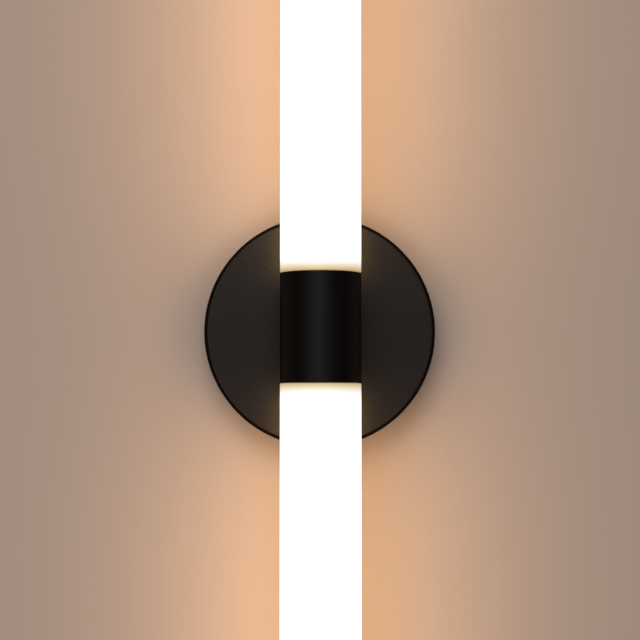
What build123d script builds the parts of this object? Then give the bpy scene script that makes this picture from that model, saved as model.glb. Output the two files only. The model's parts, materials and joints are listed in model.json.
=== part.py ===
from build123d import *
import os
from math import cos, radians, sin, sqrt, tan

# Tube wall light: a round canopy on the wall, a short black sleeve in front of it, and two opal
# tubes that leave the sleeve upwards and downwards round one aluminium bar full of LEDs.
#
# All sizes are in millimetres. The wall is the plane Y = 0, the light stands out from it towards
# -Y, +Z is up, and the origin is the middle of the canopy on the wall.

# ---------------------------------------------------------------- driving sizes: the whole light
overall_length = 600.0
tube_diameter = 40.0            # opal tubes and sleeve are flush
sleeve_length = 54.0
axis_from_wall = 70.0
canopy_diameter = 120.0
canopy_depth = 25.0

# ---------------------------------------------------------------- clearances
hole_clearance = 0.2            # radial, plain hole round a screw, stud, lead or the nipple
thread_clearance = 0.05         # radial, stands for the thread in a tapped hole
slip_clearance = 0.05           # radial, pieces pushed or bonded together
running_clearance = 0.075       # radial, diffuser neck and its ring in the sleeve's bore
pin_clearance = 0.1             # radial, locating pin in the end cap
seat_gap = 0.3                  # tube end to sleeve end

# ---------------------------------------------------------------- canopy and wall bracket
canopy_wall = 1.5
canopy_edge_radius = 2.0
canopy_inner_edge_radius = 0.8

bracket_thickness = 2.0
bracket_width = 24.0
bracket_ear_width = 16.0
bracket_ear_share = 0.64        # of the canopy's depth, how far the ears reach from the wall
bracket_bend_radius = 2.0
bracket_ear_gap = 1.2           # ear to the canopy's bore, at the middle of the ear
bracket_shoulder = 7.0          # length of the narrow ends of the strap
cable_hole_radius = 8.0
wall_slot_spacing = 70.0
wall_slot_length = 12.0
wall_slot_width = 4.5

canopy_screw_radius = 2.0
canopy_screw_length = 10.0
canopy_screw_head_radius = 3.8
canopy_screw_head_height = 2.6
canopy_screw_head_round = 1.2
canopy_screw_point = 0.5
canopy_screw_share = 0.4        # of the canopy's depth, screw to the wall
recess_length = 4.4
recess_width = 0.9
recess_depth = 1.3

# ---------------------------------------------------------------- stem, nipple, sleeve and core
nipple_radius = 5.0             # M10 x 1
nipple_bore_radius = 3.5
nipple_behind_nut = 3.0         # thread that stands out behind the nut
nipple_tip_gap = 0.6            # nipple's front end to the spine
nipple_point = 0.6
stem_radius = 8.0
nut_across_flats = 14.0
nut_height = 3.2
washer_thickness = 0.8
washer_radius = 8.6
washer_teeth = 10
washer_notch_depth = 1.5
washer_notch_half = 0.7
bush_bore_radius = 2.75
bush_flange_thickness = 1.2
bush_length = 6.0
bush_edge = 0.6

sleeve_wall = 2.0
sleeve_edge = 0.3
core_gap = 1.3                  # core block to the diffusers' necks
core_edge = 0.5
grub_radius = 1.5
grub_sunk = 0.7                 # below the sleeve's surface
grub_point = 0.3
grub_socket_flats = 1.5
grub_socket_depth = 2.0

# ---------------------------------------------------------------- LED spine and boards
spine_width = 14.0
spine_wall = 1.5
spine_clearance = 0.1           # spine in the core block's square hole
spine_corner = 0.6
plug_insert_length = 10.0
plug_flange = 1.5
pin_radius = 4.0
pin_length = 7.0
pin_point = 1.0

board_width = 10.0
board_thickness = 1.0
board_end_margin = 2.5          # board end to spine end
chips_per_board = 24
chip_size = (3.5, 2.8, 0.7)     # along the board, across it, high
chip_bevel = 0.25
first_chip_margin = 10.0        # board end to the middle of the first chip
last_chip_margin = 5.0
jumper_diameter = 0.8
jumper_bend = 2.5
jumper_start = 3.0              # from the middle of a board
jumper_margins = (4.5, 6.5)     # board end to each of the two jumpers

# ---------------------------------------------------------------- diffusers
tube_wall = 2.0
tube_edge = 0.3
neck_wall = 2.4
neck_in_sleeve = 12.0
neck_in_tube = 8.0
neck_edge = 0.6
ring_section = 1.5
ring_from_sleeve_end = 7.0
cap_thickness = 3.0
cap_edge_radius = 1.0
cap_rim_height = 5.0
cap_rim_wall = 2.4
cap_boss_radius = 7.0
cap_boss_gap = 1.0              # boss to the spine plug's flange
pin_end_depth = 3.5             # pin's end below the tube's end
socket_end_gap = 1.0            # pin's end to the bottom of its socket

# ---------------------------------------------------------------- gear in the canopy
gear_plate_thickness = 1.5
gear_plate_margin = 8.5         # plate side to the canopy's bore
gear_plate_height = 76.0
gear_plate_corner = 20.0
stud_radius = 1.5
stud_height = 6.0
stud_head_radius = 2.4
stud_head_height = 0.8
stud_point = 0.4
m3_nut_across_flats = 5.5
m3_nut_height = 2.4
earth_stud_radius = 2.0
earth_stud_height = 8.0
m4_nut_across_flats = 7.0
m4_nut_height = 3.2

driver_width = 28.0
driver_length = 50.0
driver_height = 16.5
driver_place = 0.547            # of the canopy's bore radius, driver's middle line
driver_wall = 1.5
driver_split = 10.0             # height of the base; the lid is the rest
driver_lip = 1.0                # lid's lip inside the base
driver_lip_height = 1.5
driver_lug_length = 8.5
driver_lug_width = 9.0
driver_lug_thickness = 2.0
driver_stud_offset = 4.5        # stud to the driver's end
driver_corner = 1.5
driver_lid_edge = 1.0
driver_post_radius = 2.0
driver_board_thickness = 1.6
driver_board_gap = 0.5
transformer_size = (13.0, 9.0, 16.0)    # across the driver, high, along it
transformer_offset = 3.0        # from the driver's middle line, away from the leads
transformer_yoke = 1.5
transformer_limb = 2.0
transformer_leg_half = 2.5
winding_proud = 1.6
winding_corner = 2.0
capacitor_radius = 4.0
capacitor_length = 11.0
capacitor_offset = 6.5
capacitor_start = 10.5
capacitor_edge = 0.6
capacitor_groove = 0.4          # depth, and half its width
capacitor_groove_place = 2.0    # from the can's outer end
choke_radius = 3.8
choke_waist_radius = 3.0
choke_height = 7.0
choke_flange = 1.2
choke_offset = 6.5
choke_z = -13.5

terminal_pitch = 10.0
terminal_width = 18.0
terminal_height = 12.0
terminal_place = 0.4615         # of the canopy's bore radius, block's middle line
terminal_corner = 1.2
terminal_pole_length = 8.8
terminal_barrel_radius = 2.4
terminal_barrel_bore = 1.5
terminal_barrel_inset = 1.5
terminal_screw_radius = 1.3
terminal_screw_offset = 4.5
terminal_screw_sunk = 0.6
terminal_screw_slot = (0.6, 0.8)        # width and depth
terminal_well_radius = 1.8
terminal_web_height = 5.0
terminal_web_inset = 2.0
terminal_lug_width = 10.0
terminal_lug_height = 2.5
terminal_lug_reach = 21.5       # lug end from the middle pole
terminal_stud_z = 18.0

lead_height = 5.5               # axis of the mains leads above the gear plate
mains_lead_diameter = 2.0
led_lead_diameter = 1.6
lead_in_barrel = 5.0
live_route = 0.7778             # of the canopy's bore radius, route along the rim
neutral_route = 0.8632
live_route_degrees = (36, 60, 84)       # points of that route
neutral_route_degrees = (24, 48, 72, 96)
bend_share = 0.45               # share of a run that an arc may take at either end
live_entry_offset = 9.0         # lead to the driver's middle line
neutral_entry_offset = 5.5
lead_in_driver = 3.5
live_drop = 11.5                # straight stretch above the driver
neutral_drop = 16.0
led_entry_offset = {"positive": 10.0, "negative": 6.5}
led_drop = {"positive": 8.0, "negative": 12.0}
led_lead_offset = 1.1           # lead to the light's middle plane
led_bend = 4.2
led_rise_gap = 0.5              # nipple's bush to the start of the bend
lead_exit_gap = 2.5             # core block to where a lead passes through the spine's wall
lead_slot_height = 3.4
lead_slot_shift = 0.5           # the lead is already turning where it passes
board_from_bend = 0.8
lead_end_on_board = 3.0

ring_terminal_radius = 4.0
ring_terminal_thickness = 0.8
ring_barrel_radius = 1.6
ring_barrel_length = 6.0
ring_barrel_start = 4.5         # from the stud
ring_tongue_half = 1.2
ring_tongue_in_barrel = 1.0
lead_short_of_ring = 1.0        # lead's end to the barrel's inner end
earth_stud_offset = 1.0         # stud to the terminal block's middle line, towards the nipple
earth_stud_z = -29.0
earth_loop_gap = 5.0            # lead axis to the terminal block's side
earth_bend = 4.5

# ---------------------------------------------------------------- places that follow from them
tube_radius = tube_diameter / 2
canopy_bore = canopy_diameter / 2 - canopy_wall
axis_y = -axis_from_wall
sleeve_end = sleeve_length / 2
sleeve_bore = tube_radius - sleeve_wall
tube_bore = tube_radius - tube_wall
core_radius = sleeve_bore - slip_clearance
plate_back_y = -(canopy_depth - canopy_wall)
plate_face_y = plate_back_y + gear_plate_thickness
washer_face_y = plate_face_y + washer_thickness
nut_face_y = washer_face_y + nut_height
nipple_end_y = nut_face_y + nipple_behind_nut
spine_back_y = axis_y + spine_width / 2
nipple_tip_y = spine_back_y + nipple_tip_gap
bush_face_y = nipple_end_y + bush_flange_thickness
lead_y = plate_face_y + lead_height
screw_y = -canopy_screw_share * canopy_depth
ear_depth = bracket_ear_share * canopy_depth
ear_z = canopy_bore - bracket_ear_gap
board_radius = spine_width / 2 + board_thickness
tube_start = sleeve_end + seat_gap
neck_start = tube_start - neck_in_sleeve
neck_bore_radius = sleeve_bore - running_clearance - neck_wall
core_end = neck_start - core_gap
grub_offset = (nipple_radius + core_end) / 2
lead_exit_z = core_end + lead_exit_gap
board_start = lead_exit_z + led_bend + board_from_bend
tube_end = overall_length / 2 - cap_thickness
pin_end = tube_end - pin_end_depth
spine_end = pin_end - pin_length - plug_flange
board_end = spine_end - board_end_margin
driver_x = -driver_place * canopy_bore
terminal_x = terminal_place * canopy_bore
driver_stud_z = driver_length / 2 + driver_stud_offset
driver_board_face = lead_y - mains_lead_diameter / 2
led_lead_y = driver_board_face + led_lead_diameter / 2
live_entry_x = driver_x + live_entry_offset
neutral_entry_x = driver_x + neutral_entry_offset
earth_stud_x = terminal_x - earth_stud_offset
earth_loop_x = terminal_x + terminal_width / 2 + earth_loop_gap
ring_barrel_y = plate_face_y + ring_barrel_radius + slip_clearance
poles_z = [terminal_pitch * step for step in (1, 0, -1)]
# The leads between the boards run midway between the leads to the boards and the spine's wall.
led_lead_side = led_lead_offset + led_lead_diameter / 2
link_lead_offset = (led_lead_side + spine_width / 2 - spine_wall) / 2
led_lead_x = {"positive": -led_lead_offset, "negative": led_lead_offset}
link_lead_x = {"positive": -link_lead_offset, "negative": link_lead_offset}
# Outer end of the stretch of a lead that lies in its brass barrel.
lead_tip_x = terminal_x + terminal_width / 2 - terminal_barrel_inset - lead_in_barrel


# ---------------------------------------------------------------- helpers
def rod_y(radius, y0, y1, x=0.0, z=0.0):
    """Round bar along Y."""
    return Pos(x, (y0 + y1) / 2, z) * Rot(90, 0, 0) * Cylinder(radius, abs(y1 - y0))


def rod_z(radius, z0, z1, x=0.0, y=0.0):
    """Round bar along Z."""
    return Pos(x, y, (z0 + z1) / 2) * Cylinder(radius, abs(z1 - z0))


def rod_x(radius, x0, x1, y=0.0, z=0.0):
    """Round bar along X."""
    return Pos((x0 + x1) / 2, y, z) * Rot(0, 90, 0) * Cylinder(radius, abs(x1 - x0))


def block(x, y, z):
    """Box between pairs of limits."""
    sizes = [high - low for low, high in (x, y, z)]
    middles = [(low + high) / 2 for low, high in (x, y, z)]
    return Pos(*middles) * Box(*sizes)


def plate_y(sketch, y_front, y_back, x=0.0, z=0.0):
    """Sketch in X and Z made into a plate between two depths."""
    plane = Plane((x, y_back, z), x_dir=(1, 0, 0), z_dir=(0, -1, 0))
    return extrude(plane * sketch, y_back - y_front)


def hexagon(across_flats):
    return RegularPolygon(across_flats / sqrt(3), 6)


def around_axis(part, quarter_turns):
    """Turn a piece about the tube axis."""
    axis = Axis((0, axis_y, 0), (0, 0, 1))
    return part.rotate(axis, 90 * quarter_turns)


def lower(part):
    """The matching piece below the sleeve."""
    return mirror(part, about=Plane.XY)


def lead(points, radii, diameter):
    """Insulated wire along straight runs joined by tangent arcs."""
    path = FilletPolyline(*points, radius=radii)
    section = Plane(origin=path @ 0, z_dir=path % 0) * Circle(diameter / 2)
    return sweep(section, path=path)


def easy_bends(points):
    """Nearly the largest arc that fits each corner of a route."""
    radii = []
    for before, corner, after in zip(points, points[1:], points[2:]):
        run_in = Vector(*corner) - Vector(*before)
        run_out = Vector(*after) - Vector(*corner)
        half_turn = radians(run_in.get_angle(run_out) / 2)
        radii.append(bend_share * min(run_in.length, run_out.length) / tan(half_turn))
    return radii


def rim_point(radius, degrees):
    """Point of a lead that lies along the canopy's rim."""
    return (radius * cos(radians(degrees)), lead_y, radius * sin(radians(degrees)))


# ---------------------------------------------------------------- wall bracket
def wall_bracket():
    outer_radius = bracket_bend_radius + bracket_thickness
    outer = Pos(-ear_depth / 2, 0) * Rectangle(ear_depth, 2 * ear_z)
    outer = fillet(outer.vertices().group_by(Axis.X)[-1], outer_radius)
    inner_depth = ear_depth - bracket_thickness
    inner = Rectangle(inner_depth, 2 * (ear_z - bracket_thickness))
    inner = Pos(-bracket_thickness - inner_depth / 2, 0) * inner
    inner = fillet(inner.vertices().group_by(Axis.X)[-1], bracket_bend_radius)
    strap = extrude(Plane.YZ * (outer - inner), bracket_width / 2, both=True)

    shoulder_z = ear_z - bracket_shoulder
    waste_width = (bracket_width - bracket_ear_width) / 2
    for side in (-1, 1):
        waste_x = side * (bracket_ear_width + waste_width) / 2
        for end in (-1, 1):
            waste_z = end * (shoulder_z + bracket_shoulder)
            strap -= Pos(waste_x, 0, waste_z) * Box(
                waste_width, 3 * ear_depth, 2 * bracket_shoulder
            )
    strap -= rod_y(cable_hole_radius, -bracket_thickness, 0)
    slot = SlotOverall(wall_slot_length, wall_slot_width, rotation=90)
    for end in (-1, 1):
        strap -= plate_y(slot, -bracket_thickness, 0, z=end * wall_slot_spacing / 2)
        strap -= rod_z(
            canopy_screw_radius + thread_clearance,
            end * (ear_z - 2 * bracket_thickness),
            end * (ear_z + bracket_thickness),
            y=screw_y,
        )
    return strap


# ---------------------------------------------------------------- canopy
def canopy_cover():
    outer_radius = canopy_diameter / 2
    corners = [
        (0, -canopy_depth), (outer_radius, -canopy_depth), (outer_radius, 0),
        (canopy_bore, 0), (canopy_bore, plate_back_y), (0, plate_back_y),
    ]
    profile = make_face(Polyline(*corners, close=True))
    front_edge = profile.vertices().sort_by_distance((outer_radius, -canopy_depth))[0]
    profile = fillet(front_edge, canopy_edge_radius)
    inner_edge = profile.vertices().sort_by_distance((canopy_bore, plate_back_y))[0]
    profile = fillet(inner_edge, canopy_inner_edge_radius)
    dish = revolve(profile, axis=Axis.Y)
    dish -= rod_y(nipple_radius + hole_clearance, -canopy_depth, plate_back_y)
    for end in (-1, 1):
        dish -= rod_z(
            canopy_screw_radius + hole_clearance,
            end * (canopy_bore - canopy_wall),
            end * (outer_radius + canopy_wall),
            y=screw_y,
        )
    return dish


def canopy_screw():
    """M4 pan head screw in the canopy's rim, with a cross recess."""
    seat = canopy_diameter / 2
    top = seat + canopy_screw_head_height
    shank = rod_z(canopy_screw_radius, seat - canopy_screw_length, seat)
    shank = chamfer(shank.edges().group_by(Axis.Z)[0], canopy_screw_point)
    head = rod_z(canopy_screw_head_radius, seat, top)
    head = fillet(head.edges().group_by(Axis.Z)[-1], canopy_screw_head_round)
    screw = shank + head
    recess = Box(recess_length, recess_width, 2 * recess_depth)
    for turn in (0, 90):
        screw -= Pos(0, 0, top) * Rot(0, 0, turn) * recess
    return Pos(0, screw_y, 0) * screw


def gear_plate():
    width = 2 * (canopy_bore - gear_plate_margin)
    outline = RectangleRounded(width, gear_plate_height, gear_plate_corner)
    plate = plate_y(outline, plate_back_y, plate_face_y)
    plate -= rod_y(nipple_radius + hole_clearance, plate_back_y, plate_face_y)
    for x, z in stud_places():
        plate -= stud_hole(x, z, stud_radius)
    plate -= stud_hole(earth_stud_x, earth_stud_z, earth_stud_radius)
    return plate


def stud_places():
    """Two studs for the driver, then two for the terminal block."""
    return [
        (driver_x, driver_stud_z), (driver_x, -driver_stud_z),
        (terminal_x, terminal_stud_z), (terminal_x, -terminal_stud_z),
    ]


def stud_hole(x, z, radius):
    """Stepped hole for a stud whose head is flush with the plate's front."""
    head = stud_head_radius + radius - stud_radius + thread_clearance
    hole = rod_y(radius + thread_clearance, plate_back_y, plate_face_y, x, z)
    return hole + rod_y(head, plate_back_y, plate_back_y + stud_head_height, x, z)


def gear_stud(x, z, radius, height):
    head = stud_head_radius + radius - stud_radius
    stud = rod_y(head, plate_back_y, plate_back_y + stud_head_height, x, z)
    shank = rod_y(radius, plate_back_y, plate_face_y + height, x, z)
    shank = chamfer(shank.edges().group_by(Axis.Y)[-1], stud_point)
    return stud + shank


def nut_y(across_flats, bore_radius, y0, y1, x=0.0, z=0.0):
    """Hexagon nut on a shaft along Y."""
    nut = plate_y(hexagon(across_flats), y0, y1, x, z)
    corner = across_flats / sqrt(3)
    dome = rod_y(corner, y0, y1, x, z)
    dome = chamfer(dome.edges().group_by(Axis.Y)[-1], corner - across_flats / 2)
    return (nut & dome) - rod_y(bore_radius + thread_clearance, y0, y1, x, z)


def gear_nuts():
    driver_seat = plate_face_y + driver_lug_thickness
    terminal_seat = plate_face_y + terminal_lug_height
    seats = [driver_seat, driver_seat, terminal_seat, terminal_seat]
    return [
        nut_y(m3_nut_across_flats, stud_radius, y, y + m3_nut_height, x, z)
        for (x, z), y in zip(stud_places(), seats)
    ]


# ---------------------------------------------------------------- stem
def threaded_nipple():
    nipple = rod_y(nipple_radius, nipple_tip_y, nipple_end_y)
    nipple = chamfer(nipple.edges().filter_by(GeomType.CIRCLE), nipple_point)
    return nipple - rod_y(nipple_bore_radius, nipple_tip_y, nipple_end_y)


def nipple_bush():
    inner_end = nipple_end_y - bush_length
    bush = rod_y(nipple_radius, nipple_end_y, bush_face_y)
    bush = fillet(bush.edges().group_by(Axis.Y)[-1], bush_edge)
    bush += rod_y(nipple_bore_radius - slip_clearance, inner_end, nipple_end_y)
    return bush - rod_y(bush_bore_radius, inner_end, bush_face_y)


def lock_washer():
    washer = rod_y(washer_radius, plate_face_y, washer_face_y)
    washer -= rod_y(nipple_radius + hole_clearance, plate_face_y, washer_face_y)
    outside = (washer_radius - washer_notch_depth, 2 * washer_radius)
    notch = block((-washer_notch_half, washer_notch_half), (plate_face_y, washer_face_y), outside)
    for tooth in range(washer_teeth):
        washer -= Rot(0, 360 * tooth / washer_teeth, 0) * notch
    return washer


def stem_spacer():
    """Black stem with a saddle end that fits the sleeve's back."""
    reach = axis_y + sqrt(tube_radius**2 - stem_radius**2)
    stem = rod_y(stem_radius, reach, -canopy_depth)
    stem -= rod_y(nipple_radius + hole_clearance, reach, -canopy_depth)
    return stem - rod_z(tube_radius + slip_clearance, -stem_radius, stem_radius, y=axis_y)


def body_sleeve():
    sleeve = rod_z(tube_radius, -sleeve_end, sleeve_end, y=axis_y)
    sleeve = fillet(sleeve.edges().filter_by(GeomType.CIRCLE), sleeve_edge)
    sleeve -= rod_z(sleeve_bore, -sleeve_end, sleeve_end, y=axis_y)
    sleeve -= rod_y(nipple_radius + hole_clearance, axis_y, axis_y + tube_radius)
    for end in (-1, 1):
        grub_z = end * grub_offset
        sleeve -= rod_y(grub_radius + hole_clearance, axis_y, axis_y + tube_radius, z=grub_z)
    return sleeve


def core_block():
    core = rod_z(core_radius, -core_end, core_end, y=axis_y)
    core = chamfer(core.edges().filter_by(GeomType.CIRCLE), core_edge)
    hole_width = spine_width + 2 * spine_clearance
    core -= Pos(0, axis_y, 0) * Box(hole_width, hole_width, 2 * core_end)
    core -= rod_y(nipple_radius + thread_clearance, axis_y, axis_y + core_radius)
    for end in (-1, 1):
        grub_z = end * grub_offset
        core -= rod_y(grub_radius + thread_clearance, axis_y, axis_y + core_radius, z=grub_z)
    return core


def grub_screw(end):
    """M3 socket grub screw that presses on the spine's back."""
    mouth_y = axis_y + tube_radius - grub_sunk
    screw = rod_y(grub_radius, spine_back_y, mouth_y, z=end * grub_offset)
    screw = chamfer(screw.edges().filter_by(GeomType.CIRCLE), grub_point)
    socket = hexagon(grub_socket_flats)
    return screw - plate_y(socket, mouth_y - grub_socket_depth, mouth_y, z=end * grub_offset)


# ---------------------------------------------------------------- LED spine
def led_spine():
    spine = Pos(0, axis_y, 0) * Box(spine_width, spine_width, 2 * spine_end)
    spine = fillet(spine.edges().filter_by(Axis.Z), spine_corner)
    bore = spine_width - 2 * spine_wall
    spine -= Pos(0, axis_y, 0) * Box(bore, bore, 2 * spine_end)
    front_y = axis_y - spine_width / 2
    spine -= rod_y(nipple_bore_radius, spine_back_y - spine_wall, spine_back_y)
    window_width = led_lead_diameter + 4 * hole_clearance
    window_z = lead_exit_z + lead_slot_shift
    lead_window = SlotOverall(window_width + 2 * led_lead_x["negative"], lead_slot_height)
    spine -= plate_y(lead_window, front_y, front_y + spine_wall, z=window_z)
    link_window = SlotOverall(lead_slot_height, window_width, rotation=90)
    for x in link_lead_x.values():
        for z in (-window_z, window_z):
            spine -= plate_y(link_window, spine_back_y - spine_wall, spine_back_y, x, z)
    return spine


def upper_led_board():
    """Board on the spine's front face."""
    face_y = axis_y - spine_width / 2
    half = board_width / 2
    return block((-half, half), (face_y - board_thickness, face_y), (board_start, board_end))


def upper_led_chip(z):
    """One LED package on the front board."""
    length, width, height = chip_size
    face_y = axis_y - board_radius
    ends = (z - length / 2, z + length / 2)
    chip = block((-width / 2, width / 2), (face_y - height, face_y), ends)
    return chamfer(chip.edges().group_by(Axis.Y)[0], chip_bevel)


def upper_led_boards():
    return [around_axis(upper_led_board(), turn) for turn in range(4)]


def upper_led_chips():
    first = board_start + first_chip_margin
    pitch = (board_end - last_chip_margin - first) / (chips_per_board - 1)
    chips = []
    for number in range(chips_per_board):
        chip = upper_led_chip(first + number * pitch)
        chips += [around_axis(chip, turn) for turn in range(4)]
    return chips


def upper_board_jumpers():
    """Bare-ended wires round three corners of the spine, two to a corner."""
    reach = board_radius + jumper_diameter / 2
    jumpers = []
    for margin in jumper_margins:
        z = board_start + margin
        points = [
            (jumper_start, axis_y - reach, z),
            (reach, axis_y - reach, z),
            (reach, axis_y - jumper_start, z),
        ]
        jumper = lead(points, [jumper_bend], jumper_diameter)
        jumpers += [around_axis(jumper, turn) for turn in (0, 1, 3)]
    return jumpers


def spine_plug():
    """Plug in the spine's upper end, with the pin that centres the tube's end cap."""
    insert = spine_width - 2 * spine_wall - 2 * slip_clearance
    plug = Box(insert, insert, plug_insert_length)
    plug = Pos(0, axis_y, spine_end - plug_insert_length / 2) * plug
    flange = block(
        (-spine_width / 2, spine_width / 2),
        (axis_y - spine_width / 2, spine_back_y),
        (spine_end, spine_end + plug_flange),
    )
    pin = rod_z(pin_radius, spine_end + plug_flange, pin_end, y=axis_y)
    pin = chamfer(pin.edges().group_by(Axis.Z)[-1], pin_point)
    return plug + flange + pin


# ---------------------------------------------------------------- diffusers
def upper_diffuser():
    tube = rod_z(tube_radius, tube_start, tube_end, y=axis_y)
    tube = chamfer(tube.edges().group_by(Axis.Z)[0], tube_edge)
    return tube - rod_z(tube_bore, tube_start, tube_end, y=axis_y)


def upper_neck():
    """Ring bonded in the tube, with a groove for the silicone ring."""
    neck_end = tube_start + neck_in_tube
    neck = rod_z(sleeve_bore - running_clearance, neck_start, tube_start, y=axis_y)
    neck = chamfer(neck.edges().group_by(Axis.Z)[0], neck_edge)
    neck += rod_z(tube_bore - slip_clearance, tube_start, neck_end, y=axis_y)
    neck -= rod_z(neck_bore_radius, neck_start, neck_end, y=axis_y)
    groove_z = sleeve_end - ring_from_sleeve_end
    groove_half = ring_section / 2 + slip_clearance
    groove = rod_z(sleeve_bore, groove_z - groove_half, groove_z + groove_half, y=axis_y)
    floor_radius = sleeve_bore - running_clearance - ring_section
    groove -= rod_z(floor_radius, groove_z - groove_half, groove_z + groove_half, y=axis_y)
    return neck - groove


def upper_o_ring():
    middle = sleeve_bore - slip_clearance - ring_section / 2
    groove_z = sleeve_end - ring_from_sleeve_end
    return Pos(0, axis_y, groove_z) * Torus(middle, ring_section / 2)


def upper_end_cap():
    """Opal disc with a rim inside the tube and a socket for the spine plug's pin."""
    top = tube_end + cap_thickness
    cap = rod_z(tube_radius, tube_end, top, y=axis_y)
    cap = fillet(cap.edges().group_by(Axis.Z)[-1], cap_edge_radius)
    rim_radius = tube_bore - slip_clearance
    rim = rod_z(rim_radius, tube_end - cap_rim_height, tube_end, y=axis_y)
    rim -= rod_z(rim_radius - cap_rim_wall, tube_end - cap_rim_height, tube_end, y=axis_y)
    boss_start = spine_end + plug_flange + cap_boss_gap
    boss = rod_z(cap_boss_radius, boss_start, tube_end, y=axis_y)
    socket_end = pin_end + socket_end_gap
    socket = rod_z(pin_radius + pin_clearance, boss_start, socket_end, y=axis_y)
    return cap + rim + boss - socket


# ---------------------------------------------------------------- terminal block
def terminal_block():
    half = terminal_width / 2
    front_y = plate_face_y + terminal_height
    long_half = terminal_pitch + terminal_pole_length / 2
    body = block(
        (terminal_x - half + terminal_web_inset, terminal_x + half - terminal_web_inset),
        (plate_face_y, plate_face_y + terminal_web_height),
        (-long_half, long_half),
    )
    lugs = SlotOverall(2 * terminal_lug_reach, terminal_lug_width, rotation=90)
    body += plate_y(lugs, plate_face_y, plate_face_y + terminal_lug_height, terminal_x)
    for z in poles_z:
        ends = (z - terminal_pole_length / 2, z + terminal_pole_length / 2)
        pole = block((terminal_x - half, terminal_x + half), (plate_face_y, front_y), ends)
        body += fillet(pole.edges().filter_by(Axis.X).group_by(Axis.Y)[-1], terminal_corner)
    for z in poles_z:
        bore = terminal_barrel_radius + slip_clearance
        body -= rod_x(bore, terminal_x - half, terminal_x + half, lead_y, z)
        for side in (-1, 1):
            well_x = terminal_x + side * terminal_screw_offset
            body -= rod_y(terminal_well_radius, lead_y, front_y, well_x, z)
    for z in (-terminal_stud_z, terminal_stud_z):
        hole = stud_radius + hole_clearance
        body -= rod_y(hole, plate_face_y, plate_face_y + terminal_lug_height, terminal_x, z)
    return body


def terminal_barrel(z):
    reach = terminal_width / 2 - terminal_barrel_inset
    barrel = rod_x(terminal_barrel_radius, terminal_x - reach, terminal_x + reach, lead_y, z)
    barrel -= rod_x(terminal_barrel_bore, terminal_x - reach, terminal_x + reach, lead_y, z)
    for side in (-1, 1):
        screw_x = terminal_x + side * terminal_screw_offset
        thread = terminal_screw_radius + thread_clearance
        barrel -= rod_y(thread, lead_y, lead_y + terminal_barrel_radius, screw_x, z)
    return barrel


def terminal_screw(side, z):
    """Clamping screw, tightened on the lead's diameter."""
    x = terminal_x + side * terminal_screw_offset
    tip_y = lead_y + mains_lead_diameter / 2
    head_y = plate_face_y + terminal_height - terminal_screw_sunk
    screw = rod_y(terminal_screw_radius, tip_y, head_y, x, z)
    width, depth = terminal_screw_slot
    slot = Box(4 * terminal_screw_radius, 2 * depth, width)
    return screw - Pos(x, head_y, z) * slot


# ---------------------------------------------------------------- driver
def driver_limits(inset):
    """Sides and ends of the driver, moved in by a wall or a gap."""
    half_width = driver_width / 2 - inset
    half_length = driver_length / 2 - inset
    return (driver_x - half_width, driver_x + half_width), (-half_length, half_length)


def driver_base():
    split_y = plate_face_y + driver_split
    lug_face_y = plate_face_y + driver_lug_thickness
    x, z = driver_limits(0)
    base = block(x, (plate_face_y, split_y), z)
    base = fillet(base.edges().filter_by(Axis.Y), driver_corner)
    lugs = SlotOverall(driver_length + 2 * driver_lug_length, driver_lug_width, rotation=90)
    base += plate_y(lugs, plate_face_y, lug_face_y, driver_x)
    x, z = driver_limits(driver_wall)
    base -= block(x, (plate_face_y + driver_wall, split_y), z)
    post_x, post_z = driver_limits(driver_wall + driver_post_radius)
    board_back_y = driver_board_face - driver_board_thickness
    for place_x in post_x:
        for place_z in post_z:
            base += rod_y(driver_post_radius, plate_face_y, board_back_y, place_x, place_z)
    for stud_z in (-driver_stud_z, driver_stud_z):
        base -= rod_y(stud_radius + hole_clearance, plate_face_y, lug_face_y, driver_x, stud_z)
    end_z = driver_length / 2
    for entry_x in (live_entry_x, neutral_entry_x):
        hole = mains_lead_diameter / 2 + hole_clearance
        base -= rod_z(hole, end_z - 2 * driver_wall, end_z + driver_wall, entry_x, lead_y)
    for offset in led_entry_offset.values():
        hole = led_lead_diameter / 2 + hole_clearance
        entry_x = driver_x + offset
        base -= rod_z(hole, -end_z - driver_wall, -end_z + 2 * driver_wall, entry_x, led_lead_y)
    return base


def driver_lid():
    split_y = plate_face_y + driver_split
    top_y = plate_face_y + driver_height
    x, z = driver_limits(0)
    lid = block(x, (split_y, top_y), z)
    lid = fillet(lid.edges().filter_by(Axis.Y), driver_corner)
    lid = fillet(lid.edges().group_by(Axis.Y)[-1], driver_lid_edge)
    inner_x, inner_z = driver_limits(driver_wall + driver_lip)
    lid -= block(inner_x, (split_y, top_y - driver_wall), inner_z)
    lip_x, lip_z = driver_limits(driver_wall + slip_clearance)
    lip = block(lip_x, (split_y - driver_lip_height, split_y), lip_z)
    lip -= block(inner_x, (split_y - driver_lip_height, split_y), inner_z)
    return lid + lip


def driver_board():
    x, z = driver_limits(driver_wall + driver_board_gap)
    return block(x, (driver_board_face - driver_board_thickness, driver_board_face), z)


def driver_transformer_core():
    """Ferrite core, open at two sides where the winding shows."""
    middle = driver_x - transformer_offset
    width, height, length = transformer_size
    x = (middle - width / 2, middle + width / 2)
    core = block(x, (driver_board_face, driver_board_face + height), (-length / 2, length / 2))
    window_y = (driver_board_face + transformer_yoke, driver_board_face + height - transformer_yoke)
    outer_z = length / 2 - transformer_limb
    core -= block(x, window_y, (transformer_leg_half, outer_z))
    return core - block(x, window_y, (-outer_z, -transformer_leg_half))


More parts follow.
